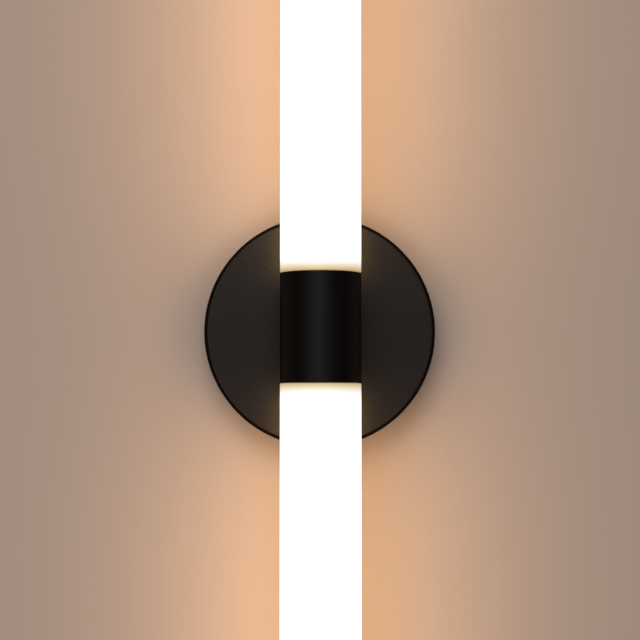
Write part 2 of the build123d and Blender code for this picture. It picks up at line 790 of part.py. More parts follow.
def driver_winding():
    """Winding round the core's middle leg."""
    middle = driver_x - transformer_offset
    width, height, length = transformer_size
    half_x = width / 2 + winding_proud
    half_z = length / 2 - transformer_limb - slip_clearance
    level = (
        driver_board_face + transformer_yoke + slip_clearance,
        driver_board_face + height - transformer_yoke - slip_clearance,
    )
    winding = block((middle - half_x, middle + half_x), level, (-half_z, half_z))
    winding = fillet(winding.edges().filter_by(Axis.Y), winding_corner)
    hole_x = width / 2 + slip_clearance
    hole_z = transformer_leg_half + slip_clearance
    return winding - block((middle - hole_x, middle + hole_x), level, (-hole_z, hole_z))


def driver_capacitor(end):
    """Electrolytic capacitor that lies on the board, with a rolled groove near its base."""
    x = driver_x - capacitor_offset
    y = driver_board_face + capacitor_radius
    low, high = sorted((end * capacitor_start, end * (capacitor_start + capacitor_length)))
    can = rod_z(capacitor_radius, low, high, x, y)
    can = fillet(can.edges().filter_by(GeomType.CIRCLE), capacitor_edge)
    groove_z = end * (capacitor_start + capacitor_length - capacitor_groove_place)
    low, high = (groove_z - capacitor_groove, groove_z + capacitor_groove)
    groove = rod_z(capacitor_radius + capacitor_groove, low, high, x, y)
    return can - (groove - rod_z(capacitor_radius - capacitor_groove, low, high, x, y))


def driver_choke():
    """Drum choke that stands on the board."""
    place = (driver_x + choke_offset, choke_z)
    top = driver_board_face + choke_height
    drum = rod_y(choke_radius, driver_board_face, top, *place)
    waist = (driver_board_face + choke_flange, top - choke_flange)
    outside = rod_y(2 * choke_radius, *waist, *place)
    return drum - (outside - rod_y(choke_waist_radius, *waist, *place))


# ---------------------------------------------------------------- leads
def live_lead():
    z = poles_z[0]
    radius = live_route * canopy_bore
    end_z = driver_length / 2
    points = [(lead_tip_x, lead_y, z), (sqrt(radius**2 - z**2), lead_y, z)]
    points += [rim_point(radius, degrees) for degrees in live_route_degrees]
    points += [
        (live_entry_x, lead_y, end_z + live_drop),
        (live_entry_x, lead_y, end_z - lead_in_driver),
    ]
    return lead(points, easy_bends(points), mains_lead_diameter)


def neutral_lead():
    z = poles_z[1]
    radius = neutral_route * canopy_bore
    end_z = driver_length / 2
    points = [(lead_tip_x, lead_y, z), (radius, lead_y, z)]
    points += [rim_point(radius, degrees) for degrees in neutral_route_degrees]
    points += [
        (neutral_entry_x, lead_y, end_z + neutral_drop),
        (neutral_entry_x, lead_y, end_z - lead_in_driver),
    ]
    return lead(points, easy_bends(points), mains_lead_diameter)


def earth_lead():
    z = poles_z[2]
    crimp_x = earth_stud_x + ring_barrel_start + lead_short_of_ring
    points = [
        (lead_tip_x, lead_y, z),
        (earth_loop_x, lead_y, z),
        (earth_loop_x, ring_barrel_y, earth_stud_z),
        (crimp_x, ring_barrel_y, earth_stud_z),
    ]
    return lead(points, [earth_bend, earth_bend], mains_lead_diameter)


def earth_ring_terminal():
    """Crimped ring on the earth stud."""
    top = plate_face_y + ring_terminal_thickness
    ring = rod_y(ring_terminal_radius, plate_face_y, top, earth_stud_x, earth_stud_z)
    start = earth_stud_x + ring_barrel_start
    tongue_z = (earth_stud_z - ring_tongue_half, earth_stud_z + ring_tongue_half)
    tongue_x = (earth_stud_x, start + ring_tongue_in_barrel)
    tongue = block(tongue_x, (plate_face_y, top), tongue_z)
    end = start + ring_barrel_length
    terminal = ring + tongue + rod_x(ring_barrel_radius, start, end, ring_barrel_y, earth_stud_z)
    bore = mains_lead_diameter / 2 + slip_clearance
    terminal -= rod_x(bore, start, end, ring_barrel_y, earth_stud_z)
    stud_hole_radius = earth_stud_radius + hole_clearance
    return terminal - rod_y(stud_hole_radius, plate_face_y, top, earth_stud_x, earth_stud_z)


def earth_nut():
    seat = plate_face_y + ring_terminal_thickness
    top = seat + m4_nut_height
    return nut_y(m4_nut_across_flats, earth_stud_radius, seat, top, earth_stud_x, earth_stud_z)


def led_lead(pole):
    """From the driver, through the nipple and the spine, to the upper front board."""
    x = led_lead_x[pole]
    entry_x = driver_x + led_entry_offset[pole]
    turn_z = -driver_length / 2 - led_drop[pole]
    rise_y = bush_face_y + led_rise_gap + led_bend
    pad_y = axis_y - board_radius - led_lead_diameter / 2
    points = [
        (entry_x, led_lead_y, -driver_length / 2 + lead_in_driver),
        (entry_x, led_lead_y, turn_z),
        (x, rise_y, turn_z),
        (x, rise_y, 0),
        (x, axis_y, 0),
        (x, axis_y, lead_exit_z),
        (x, pad_y, lead_exit_z),
        (x, pad_y, board_start + lead_end_on_board),
    ]
    return lead(points, [led_bend] * 6, led_lead_diameter)


def link_lead(pole):
    """From the upper back board, down inside the spine, to the lower back board."""
    x = link_lead_x[pole]
    pad_y = axis_y + board_radius + led_lead_diameter / 2
    end_z = board_start + lead_end_on_board
    points = [
        (x, pad_y, end_z),
        (x, pad_y, lead_exit_z),
        (x, axis_y, lead_exit_z),
        (x, axis_y, -lead_exit_z),
        (x, pad_y, -lead_exit_z),
        (x, pad_y, -end_z),
    ]
    return lead(points, [led_bend] * 4, led_lead_diameter)


# ---------------------------------------------------------------- every piece, by name
def nodes():
    upper = {
        "diffuser": upper_diffuser(),
        "neck": upper_neck(),
        "o_ring": upper_o_ring(),
        "end_cap": upper_end_cap(),
        "spine_plug": spine_plug(),
        "led_boards": upper_led_boards(),
        "led_chips": upper_led_chips(),
        "board_jumpers": upper_board_jumpers(),
    }
    pieces = {
        "wall_bracket": wall_bracket(),
        "canopy_cover": canopy_cover(),
        "canopy_screws": [canopy_screw(), lower(canopy_screw())],
        "gear_plate": gear_plate(),
        "gear_studs": [gear_stud(x, z, stud_radius, stud_height) for x, z in stud_places()],
        "gear_nuts": gear_nuts(),
        "earth_stud": gear_stud(earth_stud_x, earth_stud_z, earth_stud_radius, earth_stud_height),
        "earth_nut": earth_nut(),
        "earth_ring_terminal": earth_ring_terminal(),
        "earth_lead": earth_lead(),
        "threaded_nipple": threaded_nipple(),
        "nipple_nut": nut_y(nut_across_flats, nipple_radius, washer_face_y, nut_face_y),
        "lock_washer": lock_washer(),
        "nipple_bush": nipple_bush(),
        "stem_spacer": stem_spacer(),
        "body_sleeve": body_sleeve(),
        "core_block": core_block(),
        "core_grub_screws": [grub_screw(end) for end in (-1, 1)],
        "led_spine": led_spine(),
        "terminal_block": terminal_block(),
        "terminal_barrels": [terminal_barrel(z) for z in poles_z],
        "terminal_screws": [terminal_screw(side, z) for side in (-1, 1) for z in poles_z],
        "live_lead": live_lead(),
        "neutral_lead": neutral_lead(),
        "driver_base": driver_base(),
        "driver_lid": driver_lid(),
        "driver_board": driver_board(),
        "driver_transformer_core": driver_transformer_core(),
        "driver_winding": driver_winding(),
        "driver_capacitors": [driver_capacitor(end) for end in (-1, 1)],
        "driver_choke": driver_choke(),
    }
    for pole in ("positive", "negative"):
        pieces["led_" + pole + "_lead"] = led_lead(pole)
        pieces["link_" + pole + "_lead"] = link_lead(pole)
    for name, shape in upper.items():
        solids = shape if isinstance(shape, list) else [shape]
        pieces["upper_" + name] = solids
        pieces["lower_" + name] = [lower(solid) for solid in solids]
    return pieces


os.makedirs("parts", exist_ok=True)
for name, shape in nodes().items():
    solids = shape if isinstance(shape, list) else [shape]
    solids = [solid for piece in solids for solid in piece.solids()]
    export_step(Compound(solids), "parts/" + name + ".step")
    print(name, len(solids), "solids", round(sum(solid.volume for solid in solids), 1), "mm3")
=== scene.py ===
# %% [markdown]
# # A tube wall light
#
# The real light is a round black canopy on a wall, a short black sleeve in front of it, and two
# opal tubes that glow above and below the sleeve. Every hard piece comes from the CAD model, so
# this lesson is about finishes and light: how to make black paint read as black paint, and how to
# make a lamp look lit.
#
# The CAD model is loaded as a frame that is never changed. Its pieces already sit in the right
# place, in metres, with the wall at Y = 0 and +Z up.

import json
import math

import bmesh
import bpy
from mathutils import Matrix, Vector


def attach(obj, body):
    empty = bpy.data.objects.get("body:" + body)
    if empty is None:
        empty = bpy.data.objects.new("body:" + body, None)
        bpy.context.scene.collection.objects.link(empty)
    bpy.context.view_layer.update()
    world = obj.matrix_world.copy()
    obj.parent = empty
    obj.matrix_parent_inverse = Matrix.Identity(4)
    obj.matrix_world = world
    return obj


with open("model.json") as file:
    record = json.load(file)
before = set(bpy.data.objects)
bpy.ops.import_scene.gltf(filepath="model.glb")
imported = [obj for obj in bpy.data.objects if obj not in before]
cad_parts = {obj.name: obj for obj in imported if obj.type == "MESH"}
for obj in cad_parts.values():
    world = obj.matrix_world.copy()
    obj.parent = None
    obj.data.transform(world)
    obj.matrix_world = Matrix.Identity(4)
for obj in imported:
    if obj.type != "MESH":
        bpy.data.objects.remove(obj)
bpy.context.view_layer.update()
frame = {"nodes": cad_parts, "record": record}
nodes = frame["nodes"]

# %% [markdown]
# ## The camera
#
# The picture was taken straight on, from about nine tenths of a metre, slightly below the middle
# of the light, with a long lens. A fitted camera gives the same outlines as the picture: the
# canopy's circle, the tubes' edges, which spread a little towards the bottom, and the bowed upper
# edge of the sleeve, which shows that we look up at it.

# %% Place the camera
CAMERA_PLACE = (-0.0086, -0.9023, -0.0332)
LOOKS_UP = 2.55
LOOKS_RIGHT = 0.57
LENS = 95.2

camera = bpy.data.objects.new("camera", bpy.data.cameras.new("camera"))
camera.location = CAMERA_PLACE
camera.rotation_euler = (math.radians(90 + LOOKS_UP), 0, math.radians(-LOOKS_RIGHT))
camera.data.lens = LENS
bpy.context.scene.collection.objects.link(camera)
bpy.context.scene.camera = camera
bpy.context.scene.view_settings.view_transform = "Standard"
print("camera", round(-1000 * CAMERA_PLACE[1]), "mm from the wall, lens", LENS, "mm")

# %% [markdown]
# ## Writing shader maths as Python
#
# A material in Blender is a graph of nodes, and a long graph is hard to read. Here one small class
# wraps the output of a node. Adding or multiplying two wires adds the Math node that does it, so
# `1 - mask` is a shader expression. A second class holds a material while it is made, and its
# `node` method is the only place that makes any other node: it takes the kind, the settings and
# the inputs.


# %% A wire and a finish
class Wire:
    """The output of a shader node, with arithmetic."""

    def __init__(self, finish, socket):
        self.finish = finish
        self.socket = socket

    def math(self, operation, *values):
        return self.finish.node("Math", {"operation": operation}, dict(enumerate(values)))

    def __add__(self, other):
        return self.math("ADD", self, other)

    def __sub__(self, other):
        return self.math("SUBTRACT", self, other)

    def __rsub__(self, other):
        return self.math("SUBTRACT", other, self)

    def __mul__(self, other):
        return self.math("MULTIPLY", self, other)

    def __truediv__(self, other):
        return self.math("DIVIDE", self, other)

    def __abs__(self):
        return self.math("ABSOLUTE", self)

    def __mod__(self, step):
        return self.math("FLOORED_MODULO", self, step)

    __radd__ = __add__
    __rmul__ = __mul__

    def least(self, other):
        return self.math("MINIMUM", self, other)

    def most(self, other):
        return self.math("MAXIMUM", self, other)

    def ramp(self, low, high, at_low=0.0, at_high=1.0):
        """Smooth step: at_low where the wire is low or less, at_high where it is high."""
        ends = {"From Min": low, "From Max": high, "To Min": at_low, "To Max": at_high}
        settings = {"interpolation_type": "SMOOTHSTEP"}
        return self.finish.node("MapRange", settings, {"Value": self, **ends})


class Finish:
    """A material, or the world, while it is made."""

    def __init__(self, name, owner=None):
        self.name = name
        self.material = owner or bpy.data.materials.new(name)
        self.material.use_nodes = True
        self.tree = self.material.node_tree
        self.tree.nodes.clear()

    def node(self, kind, settings=None, inputs=None, output=0):
        made = self.tree.nodes.new("ShaderNode" + kind)
        for name, value in (settings or {}).items():
            if name == "stops":
                ramp = made.color_ramp.elements
                while len(ramp) < len(value):
                    ramp.new(1.0)
                for stop, (place, color) in zip(ramp, value):
                    stop.position = place
                    stop.color = (*color, 1.0)
            else:
                setattr(made, name, value)
        for name, value in (inputs or {}).items():
            socket = made.inputs[name]
            if isinstance(value, Wire):
                self.tree.links.new(value.socket, socket)
            elif socket.type == "RGBA":
                socket.default_value = (*value, 1.0)
            else:
                socket.default_value = value
        return Wire(self, made.outputs[output]) if made.outputs else None

    def place(self):
        """Position on the piece, in metres, which moves with the piece."""
        return self.node("TexCoord", output="Object")

    def split(self, vector):
        """The three parts of a vector."""
        parts = self.node("SeparateXYZ", inputs={0: vector}).socket.node.outputs
        return [Wire(self, parts[axis]) for axis in "XYZ"]

    def noise(self, size, detail=2.0, stretch=(1.0, 1.0, 1.0)):
        """Noise from 0 to 1 whose lumps are about that size, in metres."""
        place = self.node("Mapping", inputs={"Vector": self.place(), "Scale": stretch})
        return self.node("TexNoise", inputs={"Vector": place, "Scale": 1 / size, "Detail": detail})

    def blend(self, mask, first, second):
        """First colour where the mask is 0, second where it is 1."""
        inputs = {0: mask, 6: first, 7: second}
        return self.node("Mix", {"data_type": "RGBA"}, inputs, output=2)

    def relief(self, height, depth):
        """Normal of a relief: height from 0 to 1, depth in metres."""
        return self.node("Bump", inputs={"Height": height, "Distance": depth, "Strength": 1.0})

    def surface(self, inputs, dull=None, changes=None):
        """End the material with a Principled shader, mixed where dull is 1 with a changed one."""
        shader = self.node("BsdfPrincipled", inputs=inputs)
        if dull:
            other = self.node("BsdfPrincipled", inputs={**inputs, **changes})
            shader = self.node("MixShader", inputs={0: dull, 1: shader, 2: other})
        self.node("OutputMaterial", inputs={"Surface": shader})
        print("finish", self.name, "has", len(self.tree.nodes), "nodes")
        return self.material


# %% [markdown]
# ## A wall, a floor and a pale backdrop
#
# A wall light is judged against its wall, so the stage has a plain wall where the real one is and
# a plain floor below. Seen from behind, a wall would hide the light's back. This one is therefore
# one-sided: what comes from behind passes through it. Only the camera and reflections see the
# panels, so they take shadows but give the light no colour of their own. Both fade out at a
# distance into the plain backdrop, which saves a hard horizon.


# %% One-sided panels
def panel(name, corners, color, fades_from):
    """Add a panel that is clear from behind and fades out from that distance to twice it."""
    mesh = bpy.data.meshes.new(name)
    mesh.from_pydata(corners, [], [range(len(corners))])
    thing = bpy.data.objects.new(name, mesh)
    bpy.context.scene.collection.objects.link(thing)
    finish = Finish(name)
    rays = finish.node("LightPath").socket.node.outputs
    seen = Wire(finish, rays["Is Camera Ray"])
    for ray in ("Is Glossy Ray", "Is Transmission Ray"):
        seen = seen.most(Wire(finish, rays[ray]))
    front = 1 - finish.node("NewGeometry", output="Backfacing")
    away = finish.node("VectorMath", {"operation": "LENGTH"}, {0: finish.place()}, "Value")
    there = away.ramp(fades_from, 2 * fades_from, 1.0, 0.0)
    clear = finish.node("BsdfTransparent")
    paint = finish.node("BsdfDiffuse", inputs={"Color": color})
    mixed = finish.node("MixShader", inputs={0: seen * front * there, 1: clear, 2: paint})
    finish.node("OutputMaterial", inputs={"Surface": mixed})
    mesh.materials.append(finish.material)
    print(name, "faces", tuple(round(x) for x in mesh.polygons[0].normal))


WALL_COLOR = (0.415, 0.325, 0.275)
FLOOR_COLOR = (0.80, 0.765, 0.72)
WALL_FADES_FROM = 1.6
FLOOR_FADES_FROM = 0.7
FLOOR_Z = -0.62
REACH = 4.0
WALL_CORNERS = [
    (-REACH, 0, FLOOR_Z),
    (REACH, 0, FLOOR_Z),
    (REACH, 0, REACH),
    (-REACH, 0, REACH),
]
FLOOR_CORNERS = [
    (-REACH, -REACH, FLOOR_Z),
    (REACH, -REACH, FLOOR_Z),
    (REACH, REACH, FLOOR_Z),
    (-REACH, REACH, FLOOR_Z),
]
panel("wall", WALL_CORNERS, WALL_COLOR, WALL_FADES_FROM)
panel("floor", FLOOR_CORNERS, FLOOR_COLOR, FLOOR_FADES_FROM)

# %% [markdown]
# ## Studio light
#
# Three large soft lamps, in front, above and behind, and a weak even light from all round, make
# a colour come out about as it is written. The front lamp stands a little to the left and above
# the camera. On the round sleeve it gives one soft upright streak, as in the picture, and dark
# flanks on both sides of it. A fourth lamp, wide, low and weak, does what a pale floor does in a
# room: it lights the wall from below, so that hardly any shadow is left under the canopy.

# %% The backdrop and the soft lamps
WHITE = (1.0, 1.0, 1.0)
BACKDROP = (0.70, 0.67, 0.63)
ALL_ROUND = 0.09
SQUARE_BOX = (1.4, 1.4)
STRIP_BOX = (1.4, 0.3)
LAMPS = {
    # place, turn in degrees, width and height, watts
    "front_softbox": ((-0.25, -2.1, 1.25), (59.2, 0, -6.8), SQUARE_BOX, 26.0),
    "top_softbox": ((0.0, -0.5, 2.0), (14, 0, 0), SQUARE_BOX, 9.0),
    "low_softbox": ((-0.2, -1.25, -0.5), (112, 0, -9), STRIP_BOX, 5.4),
    "back_softbox": ((0.0, 2.2, 0.8), (-70, 0, 0), SQUARE_BOX, 26.0),
}

studio = Finish("studio", bpy.data.worlds.new("studio"))
shown = studio.node("Background", inputs={"Color": BACKDROP})
light = studio.node("Background", inputs={"Color": WHITE, "Strength": ALL_ROUND})
seen = studio.node("LightPath", output="Is Camera Ray")
either = studio.node("MixShader", inputs={0: seen, 1: light, 2: shown})
studio.node("OutputWorld", inputs={"Surface": either})
bpy.context.scene.world = studio.material


def lamp(name, place, turn, size, watts, color=WHITE):
    """Add an area lamp that the camera doesn't see. With no turn, it faces down."""
    light = bpy.data.lights.new(name, "AREA")
    light.shape = "RECTANGLE"
    light.size, light.size_y = size
    light.energy = watts
    light.color = color
    thing = bpy.data.objects.new(name, light)
    thing.location = place
    thing.rotation_euler = [math.radians(angle) for angle in turn]
    thing.visible_camera = False
    bpy.context.scene.collection.objects.link(thing)


for name, values in LAMPS.items():
    lamp(name, *values)
print(len(LAMPS), "soft lamps")

# %% [markdown]
# ## The light that the tubes throw
#
# A lit tube is far brighter than a picture can show. If its plastic glowed as strongly as the real
# one, it would still look white, but it would look orange to any program that dims it. So the
# plastic glows just enough to look lit, and three long lamps round the back of each tube, turned
# away from it as its own surface is, throw the warm light on the wall and the canopy. In the
# picture the glow is a little stronger on the left, so the left lamps are too.

# %% Glow lamps
TUBE_Y = -0.070
GLOW_COLOR = (1.0, 0.56, 0.17)
GLOW_LAMPS = {-64: 0.085, 0: 0.070, 64: 0.080}  # turn in degrees: watts
GLOW_SIZE = (0.020, 0.262)
GLOW_AWAY = 0.021
GLOW_MIDDLE = 0.1625
for end in (-1, 1):
    for turn, watts in GLOW_LAMPS.items():
        side = math.radians(turn)
        place = (
            GLOW_AWAY * math.sin(side),
            TUBE_Y + GLOW_AWAY * math.cos(side),
            end * GLOW_MIDDLE,
        )
        lamp("tube_glow", place, (90, 0, -turn), GLOW_SIZE, watts, GLOW_COLOR)
print(2 * len(GLOW_LAMPS), "glow lamps,", round(2 * sum(GLOW_LAMPS.values()), 2), "watts")

# %% [markdown]
# ## Black powder coat
#
# The canopy is painted with powder that is baked until it flows. It leaves a fine, soft grain
# well under a millimetre across, and a sheen that is broad and dull. Pure black would look like a
# hole: real black paint returns about a hundredth of the light, slightly warm. The sleeve has a
# smoother and deeper black, so that it stands out from the canopy behind it. We keep the sheen
# low on both, because black paint shows every bright thing in the room, and we let it fade where
# the paint is seen aslant, so that the sleeve's flanks stay dark.
#
# The canopy's front edge has its sheen taken away by its place on the piece, a painted shade
# that shows as a fine dark line round the edge.


# %% Paint on the canopy, the sleeve and the screws
PAINT_PATCH = 0.030
PAINT_TINT = 1.15
PAINT_GLOSS_RANGE = 0.08
ASLANT = (0.10, 0.65)
ASLANT_DULL = 0.75
CANOPY_RIM = (0.0578, 0.0585)
CANOPY_RIM_BACK = (-0.0236, -0.0230)


def powder_coat(name, color, grain, depth, roughness, sheen, painted_dark_rim=False):
    """Paint with lumps of that grain and depth in metres, and painted shade on the canopy's rim if
    asked.
    """
    finish = Finish(name)
    pebble = finish.noise(grain)
    cloud = finish.noise(PAINT_PATCH)
    dull = finish.node("LayerWeight", output="Facing").ramp(*ASLANT, 0.0, ASLANT_DULL)
    # Painted shade: the canopy's front rim loses its sheen by position, so it shows as a dark line.
    if painted_dark_rim:
        x, y, z = finish.split(finish.place())
        outside = (x * x + z * z).ramp(CANOPY_RIM[0] ** 2, CANOPY_RIM[1] ** 2)
        dull = dull.most(outside * y.ramp(*CANOPY_RIM_BACK, 1.0, 0.0))
    inputs = {
        "Base Color": finish.blend(cloud, color, tuple(PAINT_TINT * part for part in color)),
        "Roughness": roughness + PAINT_GLOSS_RANGE * (pebble - 0.5),
        "Specular IOR Level": sheen,
        "Normal": finish.relief(pebble, depth),
    }
    return finish.surface(inputs, dull, {"Specular IOR Level": 0.0})


PAINTS = {
    # colour, grain, depth, roughness, sheen, painted dark rim
    "canopy_black": ((0.0062, 0.0038, 0.0026), 7e-4, 6e-5, 0.30, 0.28, True),
    "sleeve_black": ((0.0014, 0.0007, 0.0004), 5e-4, 2e-5, 0.38, 0.18),
    "black_screw": ((0.014, 0.013, 0.012), 3e-4, 8e-6, 0.34, 0.35),
}
FINISHES = {name: powder_coat(name, *values) for name, values in PAINTS.items()}

# %% [markdown]
# ## Opal tubes that glow
#
# An opal tube scatters the light of the diodes inside it so well that it looks like a solid bar of
# light. Next to the sleeve the tube sits on its neck, less light reaches it, and the glow turns
# peach over the last few millimetres. The height above the sleeve drives two colour ramps: one
# for the glow and one for the plastic, painted darker there as shade beside the sleeve.
#
# A disc of the same plastic closes the far end. Little light reaches it, so it glows less, and the
# seam where it is bonded on shows as a fine line.

# %% Opal acrylic
SLEEVE_END = 0.027
PEACH_LENGTH = 0.008
TUBE_END = 0.297
GLOW_STOPS = [
    # place above the sleeve in peach lengths, colour
    (0.00, (0.27, 0.18, 0.09)),
    (0.06, (0.30, 0.21, 0.10)),
    (0.18, (0.34, 0.28, 0.16)),
    (0.30, (0.41, 0.36, 0.28)),
    (0.42, (0.46, 0.40, 0.37)),
    (0.60, (0.58, 0.51, 0.46)),
    (1.00, (1.0, 0.87, 0.70)),
]
# The plastic's own colour, with painted shade: darker over the last few millimetres beside the
# sleeve.
PLASTIC_AND_SHADE_STOPS = [
    (0.00, (0.28, 0.20, 0.12)),
    (0.30, (0.32, 0.25, 0.17)),
    (0.60, (0.50, 0.47, 0.42)),
    (1.00, (0.62, 0.60, 0.56)),
]
GLOW_STRENGTH = 1.6
DISC_GLOW = (0.20, 0.165, 0.12)
DISC_EDGE = 0.0002
SEAM_HALF = (0.0001, 0.0003)
SEAM_GLOW = (0.09, 0.065, 0.035)
SEAM_PLASTIC = (0.42, 0.36, 0.27)
HAZE_SIZE = 0.004
HAZE = (0.34, 0.08)


def opal_acrylic():
    finish = Finish("opal_acrylic")
    height = abs(finish.split(finish.place())[2])
    above_sleeve = (height - SLEEVE_END) / PEACH_LENGTH
    glow = finish.node("ValToRGB", {"stops": GLOW_STOPS}, {"Fac": above_sleeve})
    # Painted shade: the plastic darkens next to the sleeve, where less light falls on it.
    plastic_and_shade = finish.node("ValToRGB", {"stops": PLASTIC_AND_SHADE_STOPS}, {"Fac": above_sleeve})
    disc = height.ramp(TUBE_END - DISC_EDGE, TUBE_END + DISC_EDGE)
    seam = abs(height - TUBE_END).ramp(*SEAM_HALF, 1.0, 0.0)
    glow = finish.blend(disc, glow, DISC_GLOW)
    return finish.surface({
        "Base Color": finish.blend(seam, plastic_and_shade, SEAM_PLASTIC),
        "Roughness": HAZE[0] + HAZE[1] * finish.noise(HAZE_SIZE),
        "Emission Color": finish.blend(seam, glow, SEAM_GLOW),
        "Emission Strength": GLOW_STRENGTH,
    })


FINISHES["opal_acrylic"] = opal_acrylic()

# %% [markdown]
# ## Neck, ring and moulded plastics
#
# Each tube ends in a neck of frosted polycarbonate that plugs into the sleeve, gripped by a
# silicone ring. Frosting is a fine, dense roughness. Silicone is dull, slightly grey and gives a
# soft edge to every highlight.
#
# A mould gives plastic its skin: the driver's case comes from a spark-eroded mould and has a fine
# dull grain, the terminal block is a smooth cream nylon, and the nipple's bush and the spine's
# plugs are plain nylon. One recipe covers them all, with its own grain and gloss for each.

# %% A recipe for moulded pieces
MOULD_PATCH = 0.012
MOULD_TINT = 0.93
MOULD_GLOSS_RANGE = 0.10


def moulded(name, color, grain, depth, roughness):
    """Plastic whose skin has lumps of that grain and depth, in metres."""
    finish = Finish(name)
    skin = finish.noise(grain, detail=3.0)
    cloud = finish.noise(MOULD_PATCH)
    darker = tuple(MOULD_TINT * part for part in color)
    return finish.surface({
        "Base Color": finish.blend(cloud, darker, color),
        "Roughness": roughness + MOULD_GLOSS_RANGE * (skin - 0.5),
        "Normal": finish.relief(skin, depth),
    })


MOULDED = {
    # colour, grain, depth, roughness
    "frosted_polycarbonate": ((0.86, 0.86, 0.84), 2e-4, 1e-5, 0.52),
    "silicone": ((0.62, 0.62, 0.60), 3e-4, 6e-6, 0.62),
    "driver_case_white": ((0.84, 0.84, 0.83), 4e-4, 2e-5, 0.55),
    "terminal_cream": ((0.82, 0.80, 0.72), 3e-4, 6e-6, 0.38),
    "black_nylon": ((0.03, 0.03, 0.03), 3e-4, 8e-6, 0.42),
    "white_nylon": ((0.86, 0.86, 0.84), 3e-4, 8e-6, 0.44),
    "board_green": ((0.05, 0.24, 0.11), 1e-3, 1e-5, 0.30),
    "ferrite": ((0.10, 0.10, 0.11), 2e-4, 2e-5, 0.62),
    "winding_tape": ((0.80, 0.62, 0.12), 6e-4, 1e-5, 0.28),
    "capacitor_sleeve": ((0.05, 0.06, 0.09), 8e-4, 5e-6, 0.25),
}
for name, values in MOULDED.items():
    FINISHES[name] = moulded(name, *values)

# %% [markdown]
# ## Leads
#
# The leads have insulation of soft plastic with a low gloss. Only the earth lead needs more than
# a colour: its yellow stripe runs along the wire. The part of the surface's own direction that
# points away from the wall is the same along a straight run of wire, so a mask made from it gives
# stripes that follow every bend.

# %% Insulation
LEAD_GRAIN = 3e-4
LEAD_DEPTH = 5e-6
EARTH_GREEN = (0.08, 0.30, 0.08)
EARTH_YELLOW = (0.78, 0.66, 0.06)
EARTH_ROUGHNESS = (0.38, 0.10)
STRIPE_EDGE = (0.78, 0.84)


def striped_lead():
    """Green insulation with a yellow stripe on its front and its back."""
    finish = Finish("lead_green_yellow")
    sides = finish.split(finish.node("TexCoord", output="Normal"))
    stripe = abs(sides[1]).ramp(*STRIPE_EDGE)
    skin = finish.noise(LEAD_GRAIN)
    return finish.surface({
        "Base Color": finish.blend(stripe, EARTH_GREEN, EARTH_YELLOW),
        "Roughness": EARTH_ROUGHNESS[0] + EARTH_ROUGHNESS[1] * skin,
        "Normal": finish.relief(skin, LEAD_DEPTH),
    })


FINISHES["lead_green_yellow"] = striped_lead()
LEADS = {
    # colour, roughness
    "lead_brown": ((0.20, 0.09, 0.04), 0.40),
    "lead_blue": ((0.06, 0.18, 0.52), 0.40),
    "lead_red": ((0.60, 0.05, 0.04), 0.46),
    "lead_black": ((0.03, 0.03, 0.03), 0.46),
}
for name, (color, roughness) in LEADS.items():
    FINISHES[name] = moulded(name, color, LEAD_GRAIN, LEAD_DEPTH, roughness)

# %% [markdown]
# ## Metals
#
# Bare metals differ in colour, in how rough they are and in the marks that making them leaves.
# Rolled sheet has short streaks along one direction, a drawn bar has long ones, and a turned piece
# has fine rings. Noise that is squeezed along two directions and drawn out along the third gives
# all three, and it drives both the roughness and a relief of a few thousandths of a millimetre.

# %% Plated, drawn and turned metal
METAL_PATCH = 0.009
METAL_TINT = 0.90
PATCH_EDGE = (0.35, 0.75)
METAL_GLOSS_RANGE = 0.16
MARK_DEPTH = 4e-6


def metal(name, color, roughness, marks, stretch, stain=None):
    """Metal with marks of that size in metres, drawn out where stretch is small."""
    finish = Finish(name)
    streak = finish.noise(marks, detail=4.0, stretch=stretch)
    cloud = finish.noise(METAL_PATCH)
    tint = stain or tuple(METAL_TINT * part for part in color)
    return finish.surface({
        "Base Color": finish.blend(cloud.ramp(*PATCH_EDGE), color, tint),
        "Metallic": 1.0,
        "Roughness": roughness + METAL_GLOSS_RANGE * (streak - 0.5),
        "Normal": finish.relief(streak, MARK_DEPTH),
    })


ALONG_X, ALONG_Y, ALONG_Z = (0.06, 1, 1), (1, 0.06, 1), (1, 1, 0.02)
RINGS, NO_DIRECTION = (0.02, 0.02, 1), (1, 1, 1)
ZINC_STAIN = (0.58, 0.60, 0.66)
METALS = {
    # colour, roughness, size of marks, direction of marks, stain
    "zinc_plated_steel": ((0.66, 0.67, 0.68), 0.34, 4e-4, ALONG_X, ZINC_STAIN),
    "brass": ((0.78, 0.60, 0.28), 0.30, 3e-4, ALONG_Y),
    "tinned_copper": ((0.74, 0.73, 0.71), 0.34, 4e-4, ALONG_X),
    "screw_steel": ((0.66, 0.66, 0.64), 0.30, 2e-4, ALONG_Y),
    "lead_bare": ((0.74, 0.73, 0.71), 0.32, 3e-4, ALONG_X),
    "aluminium": ((0.80, 0.80, 0.81), 0.32, 3e-4, ALONG_Z),
}
for name, values in METALS.items():
    FINISHES[name] = metal(name, *values)
TURNED = metal("turned_aluminium", (0.80, 0.80, 0.81), 0.30, 2e-4, RINGS)
SOLDER = metal("solder", (0.70, 0.70, 0.69), 0.24, 6e-4, NO_DIRECTION)

# %% [markdown]
# ## The pattern along a board
#
# A tube that is pulled off shows the bar inside it: four white boards with a row of diodes on
# each. The diodes are spaced evenly, so the remainder of the height after the spacing gives the
# place within one diode. Diodes and boards both draw their details from that place, so they stay
# in step and no image is needed.

# %% Measure along and across a board
CHIP_FIRST = 0.0315
CHIP_SPACING = 0.246 / 23


def along_and_across(finish):
    """Place on a board: from the nearest diode's middle, from the board's middle, and height."""
    x, y, z = finish.split(finish.place())
    across = abs(x).least(abs(y - TUBE_Y))
    shifted = (abs(z) - (CHIP_FIRST - CHIP_SPACING / 2)) % CHIP_SPACING
    return abs(shifted - CHIP_SPACING / 2), across, abs(z)


print("diodes are", round(1000 * CHIP_SPACING, 2), "mm apart")

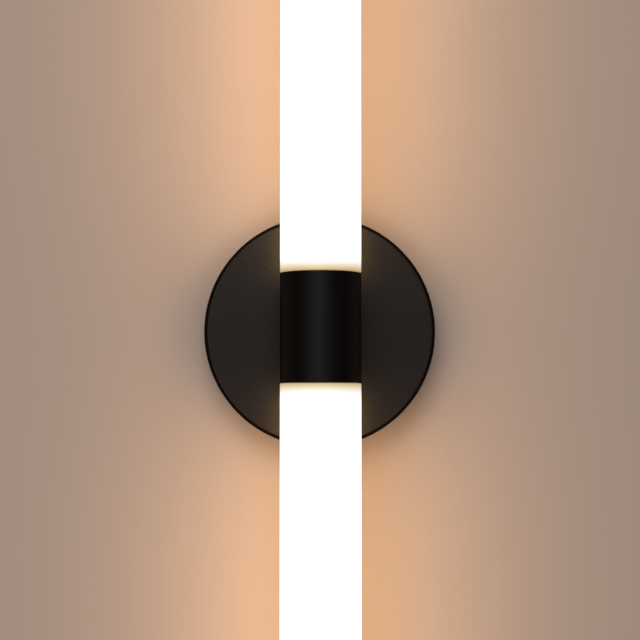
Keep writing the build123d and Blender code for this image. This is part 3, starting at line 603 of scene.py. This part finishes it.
# %% [markdown]
# ## Diodes
#
# A diode of this kind is a small white package with a window of yellow phosphor, sunk a little
# below its rim. The yellow turns the blue light of the chip under it into warm white. The window
# is a mask in the finish and not a piece of its own, as it is part of one moulded package.

# %% White package and yellow window
WINDOW_HALF_LENGTH = (0.00125, 0.00140)
WINDOW_HALF_WIDTH = (0.00098, 0.00112)
WINDOW_DEPTH = 4e-5
PACKAGE_WHITE, PHOSPHOR = (0.88, 0.88, 0.86), (0.93, 0.78, 0.30)
PACKAGE_GLOW, PHOSPHOR_GLOW = (0.10, 0.08, 0.05), (1.0, 0.82, 0.56)
DIODE_ROUGHNESS = (0.45, 0.20)
DIODE_STRENGTH = 0.7


def diode():
    finish = Finish("led_phosphor")
    along, across, _ = along_and_across(finish)
    window = along.ramp(*WINDOW_HALF_LENGTH, 1, 0) * across.ramp(*WINDOW_HALF_WIDTH, 1, 0)
    return finish.surface({
        "Base Color": finish.blend(window, PACKAGE_WHITE, PHOSPHOR),
        "Roughness": DIODE_ROUGHNESS[0] - DIODE_ROUGHNESS[1] * window,
        "Normal": finish.relief(window, -WINDOW_DEPTH),
        "Emission Color": finish.blend(window, PACKAGE_GLOW, PHOSPHOR_GLOW),
        "Emission Strength": DIODE_STRENGTH,
    })


FINISHES["led_phosphor"] = diode()

# %% [markdown]
# ## Boards
#
# The boards are aluminium under white lacquer, so their cut edges are bare metal. Copper tracks
# under the lacquer show as faint raised lines on both sides of the diodes, and a fillet of solder
# holds each end of a diode. All of them follow from the same two distances.

# %% Lacquer, tracks, solder and cut edges
BOARD_ENDS = (0.02154, 0.28246)
BOARD_HALF = 0.00497
SHARP = 1e-5
FOOT_START = (0.0016, 0.0017)
FOOT_STOP = (0.0023, 0.0024)
FOOT_HALF_WIDTH = (0.0010, 0.0011)
TRACK_PLACE = 0.0036
TRACK_HALF_WIDTH = (0.0005, 0.0006)
TRACK_DEPTH = 2e-5
LACQUER, LACQUER_ON_TRACK = (0.88, 0.89, 0.88), (0.82, 0.84, 0.82)
BARE_METAL, FOOT_SOLDER = (0.72, 0.72, 0.73), (0.78, 0.78, 0.76)
LACQUER_GRAIN = 5e-4
LACQUER_ROUGHNESS = (0.34, 0.06)


def led_board():
    finish = Finish("board_white")
    along, across, height = along_and_across(finish)
    foot = along.ramp(*FOOT_START) * along.ramp(*FOOT_STOP, 1, 0)
    foot = foot * across.ramp(*FOOT_HALF_WIDTH, 1, 0)
    track = abs(across - TRACK_PLACE).ramp(*TRACK_HALF_WIDTH, 1, 0)
    edge = across.ramp(BOARD_HALF - SHARP, BOARD_HALF + SHARP)
    far_end = height.ramp(BOARD_ENDS[1], BOARD_ENDS[1] + 2 * SHARP)
    near_end = height.ramp(BOARD_ENDS[0] - 2 * SHARP, BOARD_ENDS[0], 1, 0)
    bare = edge.most(far_end.most(near_end))
    lacquer = finish.blend(track, LACQUER, LACQUER_ON_TRACK)
    metal_color = finish.blend(foot, BARE_METAL, FOOT_SOLDER)
    return finish.surface({
        "Base Color": finish.blend(bare.most(foot), lacquer, metal_color),
        "Metallic": bare.most(foot),
        "Roughness": LACQUER_ROUGHNESS[0] + LACQUER_ROUGHNESS[1] * finish.noise(LACQUER_GRAIN),
        "Normal": finish.relief(track + 2 * foot, TRACK_DEPTH),
    })


FINISHES["board_white"] = led_board()

# %% [markdown]
# ## Solder joints
#
# Wires are held on the boards by solder. A good joint is a small mound: the melted metal climbs
# the wire and leaves hollow flanks. A relief in a finish wouldn't stand up from the board, so each
# mound is real geometry: a short profile turned round its middle.

# %% Turn one mound
BOARD_FACE = 0.0080
JOINT_SIDES = 20
JOINT_PROFILE = [
    # share of the radius, share of the height
    (1.0, -0.08),
    (1.0, 0.0),
    (0.84, 0.10),
    (0.68, 0.32),
    (0.58, 0.60),
    (0.46, 0.83),
    (0.27, 0.96),
]


def solder_joint(shape, spot, turn, size):
    """Add a mound on the front board, then turn it by quarter turns to its own board."""
    radius, height = size
    across, up = spot
    rings = []
    quarter_turns = Matrix.Rotation(math.radians(90 * turn), 4, "Z")
    to_board = Matrix.Translation((0, TUBE_Y, 0)) @ quarter_turns
    for share, rise in JOINT_PROFILE:
        ring = []
        for step in range(JOINT_SIDES):
            angle = math.tau * step / JOINT_SIDES
            x = across + radius * share * math.cos(angle)
            z = up + radius * share * math.sin(angle)
            ring.append(shape.verts.new(to_board @ Vector((x, -BOARD_FACE - height * rise, z))))
        rings.append(ring)
    for low, high in zip(rings, rings[1:]):
        for step in range(JOINT_SIDES):
            after = (step + 1) % JOINT_SIDES
            shape.faces.new((low[step], low[after], high[after], high[step]))
    top = shape.verts.new(to_board @ Vector((across, -BOARD_FACE - height, up)))
    for step in range(JOINT_SIDES):
        shape.faces.new((rings[-1][step], rings[-1][(step + 1) % JOINT_SIDES], top))
    shape.faces.new(rings[0][::-1])


print("a mound has", len(JOINT_PROFILE), "rings of", JOINT_SIDES, "points")

# %% [markdown]
# ## Where the wires end
#
# Two wires bring the current to the upper boards, two more carry it on to the lower ones, and
# short jumpers join neighbouring boards round the corners of the bar. The mounds never move
# against the boards, so all of them are one piece that rides on the fixture.

# %% Set a mound at each wire's end
LEAD_END = 0.0245
PAST_LEAD = 0.0005
LED_LEAD_X = 0.0011
LINK_LEAD_X = 0.0037
LARGE_JOINT = (0.00098, 0.00120)
JUMPER_START = 0.0030
JUMPER_HEIGHTS = (0.026, 0.028)
JUMPER_TURNS = (0, 1, 3)
SMALL_JOINT = (0.00085, 0.00095)
joints = []
for x in (-LED_LEAD_X, LED_LEAD_X):
    joints.append(((x, LEAD_END + PAST_LEAD), 0, LARGE_JOINT))
for x in (-LINK_LEAD_X, LINK_LEAD_X):
    for end in (-1, 1):
        joints.append(((x, end * (LEAD_END + PAST_LEAD)), 2, LARGE_JOINT))
for height in JUMPER_HEIGHTS:
    for end in (-1, 1):
        for turn in JUMPER_TURNS:
            joints.append(((JUMPER_START, end * height), turn, SMALL_JOINT))
            joints.append(((-JUMPER_START, end * height), turn + 1, SMALL_JOINT))
shape = bmesh.new()
for joint in joints:
    solder_joint(shape, *joint)
bmesh.ops.recalc_face_normals(shape, faces=shape.faces)
for face in shape.faces:
    face.smooth = True
mesh = bpy.data.meshes.new("solder_joints")
shape.to_mesh(mesh)
shape.free()
mesh.materials.append(SOLDER)
solder_joints = bpy.data.objects.new("solder_joints", mesh)
bpy.context.scene.collection.objects.link(solder_joints)
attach(solder_joints, "fixture")
print(len(joints), "solder joints")

# %% [markdown]
# ## Finishes on the pieces
#
# The record of the CAD model names a material slot for each piece, and each slot has one finish.
# Only the core block differs from its slot: it is turned, so it has rings where the drawn
# aluminium of the bar has long streaks.

# %% Give each piece its finish
OWN_FINISH = {"core_block": TURNED}
slots = {part["node"]: part["material_slot"] for part in frame["record"]["subparts"]}
for name, piece in nodes.items():
    piece.data.materials.clear()
    piece.data.materials.append(OWN_FINISH.get(name) or FINISHES[slots[name]])
print(len(FINISHES), "finishes by slot and", len(OWN_FINISH), "of its own on", len(nodes), "pieces")
